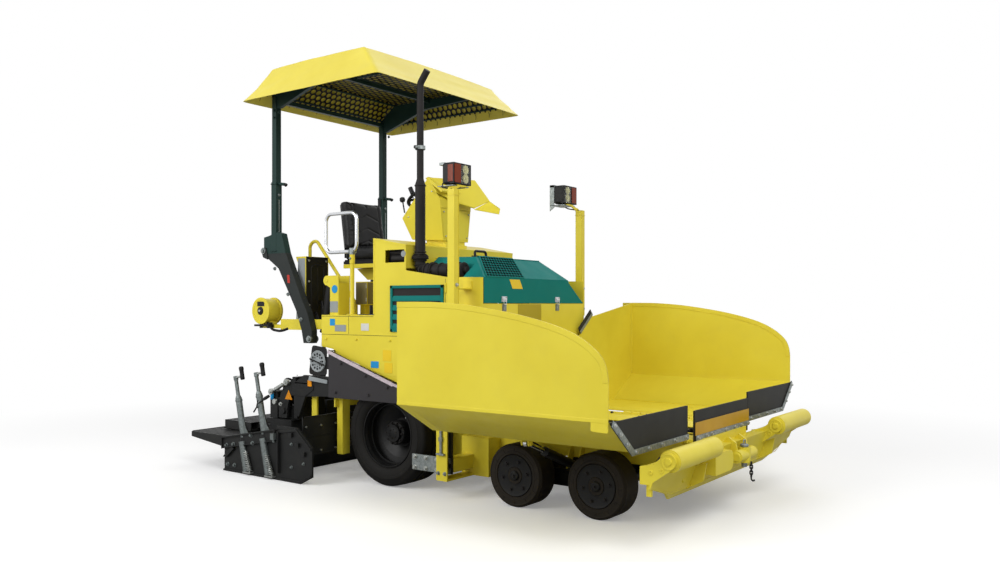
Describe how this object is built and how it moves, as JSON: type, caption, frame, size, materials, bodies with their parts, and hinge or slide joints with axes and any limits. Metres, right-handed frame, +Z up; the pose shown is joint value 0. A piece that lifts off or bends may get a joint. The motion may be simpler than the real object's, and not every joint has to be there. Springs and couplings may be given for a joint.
{
  "type": "asphalt paver",
  "caption": "Compact wheeled asphalt paver with folding hopper wings, slat conveyor, augers, extending rear screed, engine hood and a folding canopy over the operator.",
  "frame": {"origin": "on the ground, in the middle of the machine's length and width as it stands", "axes": "+X forward towards the hopper, +Y to the left, +Z up"},
  "size_m": [4.686, 2.994, 3.365],
  "materials": {
    "body_yellow": "gloss yellow enamel",
    "hood_teal": "semi-gloss teal enamel",
    "frame_black": "satin black enamel",
    "post_grey": "satin dark grey-green enamel",
    "guard_dark": "matt dark purple-grey enamel",
    "screed_black": "satin black enamel",
    "zinc": "zinc plated",
    "rod_chrome": "hard chromed",
    "bright_steel": "polished stainless tube",
    "wear_steel": "worn bare steel",
    "cast_iron": "as cast",
    "engine": "one plain block",
    "tyre": "black rubber with tread",
    "solid_tyre": "solid black rubber",
    "flap_rubber": "reinforced rubber sheet",
    "canopy_cloth": "coated yellow tarpaulin",
    "seat_cover": "black vinyl over foam",
    "exhaust_black": "heat-proof matt black",
    "lamp": "black housing with clear and amber lenses",
    "wheel_plastic": "moulded black"
  },
  "bodies": {
    "root": {"main_frame": "body_yellow", "front_bogies": "frame_black", "body_shell": "body_yellow", "engine_block": "engine", "rear_deck": "body_yellow", "hopper_body": "body_yellow", "centre_flap": "flap_rubber", "conveyor": "wear_steel", "push_beam": "body_yellow", "wheel_guards": "guard_dark", "auger_drive": "body_yellow", "canopy_arms": "post_grey", "light_poles": "body_yellow", "headlamps": "lamp", "exhaust": "exhaust_black", "console": "body_yellow", "seat": "seat_cover", "seat_mount": "frame_black", "handrails": "bright_steel", "cable_station": "body_yellow"},
    "screed": {"screed_main": "screed_black", "tow_plates": "zinc", "tow_arm_left": "screed_black", "tow_arm_right": "screed_black"},
    "hood": {"hood": "hood_teal"},
    "canopy_mast": {"canopy_masts": "post_grey"},
    "canopy_top": {"canopy_frame": "post_grey", "canopy_roof": "canopy_cloth"},
    "steering_wheel": {"steering_wheel": "wheel_plastic"},
    "rear_wheel_left": {"rear_tyre_left": "tyre", "rear_rim_left": "frame_black"},
    "front_knuckle_left": {"front_knuckle_left": "frame_black"},
    "front_wheel_left": {"front_wheel_left": "solid_tyre"},
    "middle_knuckle_left": {"middle_knuckle_left": "frame_black"},
    "middle_wheel_left": {"middle_wheel_left": "solid_tyre"},
    "rear_wheel_right": {"rear_tyre_right": "tyre", "rear_rim_right": "frame_black"},
    "front_knuckle_right": {"front_knuckle_right": "frame_black"},
    "front_wheel_right": {"front_wheel_right": "solid_tyre"},
    "middle_knuckle_right": {"middle_knuckle_right": "frame_black"},
    "middle_wheel_right": {"middle_wheel_right": "solid_tyre"},
    "hopper_wing_left": {"hopper_wing_left": "body_yellow", "wing_flap_left": "flap_rubber"},
    "wing_barrel_left": {"wing_barrel_left": "frame_black"},
    "wing_rod_left": {"wing_rod_left": "rod_chrome"},
    "hopper_wing_right": {"hopper_wing_right": "body_yellow", "wing_flap_right": "flap_rubber"},
    "wing_barrel_right": {"wing_barrel_right": "frame_black"},
    "wing_rod_right": {"wing_rod_right": "rod_chrome"},
    "lift_barrel_left": {"lift_barrel_left": "frame_black"},
    "lift_rod_left": {"lift_rod_left": "rod_chrome"},
    "screed_extension_left": {"screed_extension_left": "screed_black"},
    "auger_left": {"auger_left": "wear_steel"},
    "push_roller_left": {"push_roller_left": "body_yellow"},
    "lift_barrel_right": {"lift_barrel_right": "frame_black"},
    "lift_rod_right": {"lift_rod_right": "rod_chrome"},
    "screed_extension_right": {"screed_extension_right": "screed_black"},
    "auger_right": {"auger_right": "wear_steel"},
    "push_roller_right": {"push_roller_right": "body_yellow"}
  },
  "joints": [
    {"name": "rear_wheel_left_spin", "type": "hinge", "parent": "root", "child": "rear_wheel_left", "pos_m": [-0.307, 0.5265, 0.397], "axis": [0, 1, 0], "continuous": true},
    {"name": "front_steer_left", "type": "hinge", "parent": "root", "child": "front_knuckle_left", "pos_m": [1.508, 0.405, 0.2185], "axis": [0, 0, 1], "range_deg": [-18, 18]},
    {"name": "front_wheel_left_spin", "type": "hinge", "parent": "front_knuckle_left", "child": "front_wheel_left", "pos_m": [1.508, 0.537, 0.2185], "axis": [0, 1, 0], "continuous": true},
    {"name": "middle_steer_left", "type": "hinge", "parent": "root", "child": "middle_knuckle_left", "pos_m": [0.88, 0.405, 0.2185], "axis": [0, 0, 1], "range_deg": [-18, 18]},
    {"name": "middle_wheel_left_spin", "type": "hinge", "parent": "middle_knuckle_left", "child": "middle_wheel_left", "pos_m": [0.88, 0.555, 0.2185], "axis": [0, 1, 0], "continuous": true},
    {"name": "rear_wheel_right_spin", "type": "hinge", "parent": "root", "child": "rear_wheel_right", "pos_m": [-0.307, -0.5265, 0.397], "axis": [0, 1, 0], "continuous": true},
    {"name": "front_steer_right", "type": "hinge", "parent": "root", "child": "front_knuckle_right", "pos_m": [1.508, -0.405, 0.2185], "axis": [0, 0, 1], "range_deg": [-18, 18]},
    {"name": "front_wheel_right_spin", "type": "hinge", "parent": "front_knuckle_right", "child": "front_wheel_right", "pos_m": [1.508, -0.537, 0.2185], "axis": [0, 1, 0], "continuous": true},
    {"name": "middle_steer_right", "type": "hinge", "parent": "root", "child": "middle_knuckle_right", "pos_m": [0.88, -0.405, 0.2185], "axis": [0, 0, 1], "range_deg": [-18, 18]},
    {"name": "middle_wheel_right_spin", "type": "hinge", "parent": "middle_knuckle_right", "child": "middle_wheel_right", "pos_m": [0.88, -0.555, 0.2185], "axis": [0, 1, 0], "continuous": true},
    {"name": "steering_wheel_turn", "type": "hinge", "parent": "root", "child": "steering_wheel", "pos_m": [-0.497, 0, 2.3], "axis": [-0.4695, 0, 0.8829], "range_deg": [-540, 540]},
    {"name": "hopper_wing_left_lift", "type": "hinge", "parent": "root", "child": "hopper_wing_left", "pos_m": [1.353, 0.49, 0.545], "axis": [1, 0, 0], "range_deg": [0, 50]},
    {"name": "wing_barrel_left_swing", "type": "hinge", "parent": "root", "child": "wing_barrel_left", "pos_m": [1.194, 0.38, 0.285], "axis": [1, 0, 0], "range_deg": [-1, 33.48]},
    {"name": "wing_rod_left_slide", "type": "slide", "parent": "wing_barrel_left", "child": "wing_rod_left", "axis": [0, 0.9312, 0.3645], "range_m": [-0.002, 0.1207]},
    {"name": "hopper_wing_right_lift", "type": "hinge", "parent": "root", "child": "hopper_wing_right", "pos_m": [1.353, -0.49, 0.545], "axis": [-1, 0, 0], "range_deg": [0, 50]},
    {"name": "wing_barrel_right_swing", "type": "hinge", "parent": "root", "child": "wing_barrel_right", "pos_m": [1.194, -0.38, 0.285], "axis": [-1, 0, 0], "range_deg": [-1, 33.48]},
    {"name": "wing_rod_right_slide", "type": "slide", "parent": "wing_barrel_right", "child": "wing_rod_right", "axis": [0, -0.9312, 0.3645], "range_m": [-0.002, 0.1207]},
    {"name": "hood_lift", "type": "hinge", "parent": "root", "child": "hood", "pos_m": [0.014, 0, 1.75], "axis": [0, -1, 0], "range_deg": [0, 55]},
    {"name": "canopy_fold", "type": "hinge", "parent": "root", "child": "canopy_mast", "pos_m": [-1.737, 0, 1.856], "axis": [0, -1, 0], "range_deg": [0, 130]},
    {"name": "canopy_telescope", "type": "slide", "parent": "canopy_mast", "child": "canopy_top", "axis": [0, 0, 1], "range_m": [-0.4, 0]},
    {"name": "screed_lift", "type": "hinge", "parent": "root", "child": "screed", "pos_m": [0.333, 0, 0.24], "axis": [0, 1, 0], "range_deg": [0, 9]},
    {"name": "lift_barrel_left_swing", "type": "hinge", "parent": "root", "child": "lift_barrel_left", "pos_m": [-1.042, 0.54, 1.591], "axis": [0, 1, 0], "range_deg": [-7.76, 1]},
    {"name": "lift_rod_left_slide", "type": "slide", "parent": "lift_barrel_left", "child": "lift_rod_left", "axis": [0.1997, 0, 0.9799], "range_m": [-0.002, 0.2471]},
    {"name": "screed_extension_left_slide", "type": "slide", "parent": "screed", "child": "screed_extension_left", "axis": [0, 1, 0], "range_m": [-0.235, 0.35]},
    {"name": "auger_left_spin", "type": "hinge", "parent": "root", "child": "auger_left", "pos_m": [-1.112, 0.36, 0.3], "axis": [0, 1, 0], "continuous": true},
    {"name": "push_roller_left_spin", "type": "hinge", "parent": "root", "child": "push_roller_left", "pos_m": [2.2805, 0.86, 0.54], "axis": [0, 1, 0], "continuous": true},
    {"name": "lift_barrel_right_swing", "type": "hinge", "parent": "root", "child": "lift_barrel_right", "pos_m": [-1.042, -0.54, 1.591], "axis": [0, 1, 0], "range_deg": [-7.76, 1]},
    {"name": "lift_rod_right_slide", "type": "slide", "parent": "lift_barrel_right", "child": "lift_rod_right", "axis": [0.1997, 0, 0.9799], "range_m": [-0.002, 0.2471]},
    {"name": "screed_extension_right_slide", "type": "slide", "parent": "screed", "child": "screed_extension_right", "axis": [0, -1, 0], "range_m": [-0.235, 0.35]},
    {"name": "auger_right_spin", "type": "hinge", "parent": "root", "child": "auger_right", "pos_m": [-1.112, -0.36, 0.3], "axis": [0, 1, 0], "continuous": true},
    {"name": "push_roller_right_spin", "type": "hinge", "parent": "root", "child": "push_roller_right", "pos_m": [2.2805, -0.86, 0.54], "axis": [0, 1, 0], "continuous": true}
  ],
  "couplings": [
    {"joint": "front_steer_right", "follows": "front_steer_left", "ratio": 1},
    {"joint": "middle_steer_left", "follows": "front_steer_left", "ratio": 1},
    {"joint": "middle_steer_right", "follows": "front_steer_left", "ratio": 1},
    {"joint": "steering_wheel_turn", "follows": "front_steer_left", "ratio": 30},
    {"joint": "wing_barrel_left_swing", "follows": "hopper_wing_left_lift", "ratio": 0.64962},
    {"joint": "wing_rod_left_slide", "follows": "hopper_wing_left_lift", "m_per_rad": 0.13604},
    {"joint": "wing_barrel_right_swing", "follows": "hopper_wing_right_lift", "ratio": 0.64962},
    {"joint": "wing_rod_right_slide", "follows": "hopper_wing_right_lift", "m_per_rad": 0.13604},
    {"joint": "lift_barrel_left_swing", "follows": "screed_lift", "ratio": -0.82117},
    {"joint": "lift_rod_left_slide", "follows": "screed_lift", "m_per_rad": 1.5604},
    {"joint": "lift_barrel_right_swing", "follows": "screed_lift", "ratio": -0.82117},
    {"joint": "lift_rod_right_slide", "follows": "screed_lift", "m_per_rad": 1.5604}
  ]
}
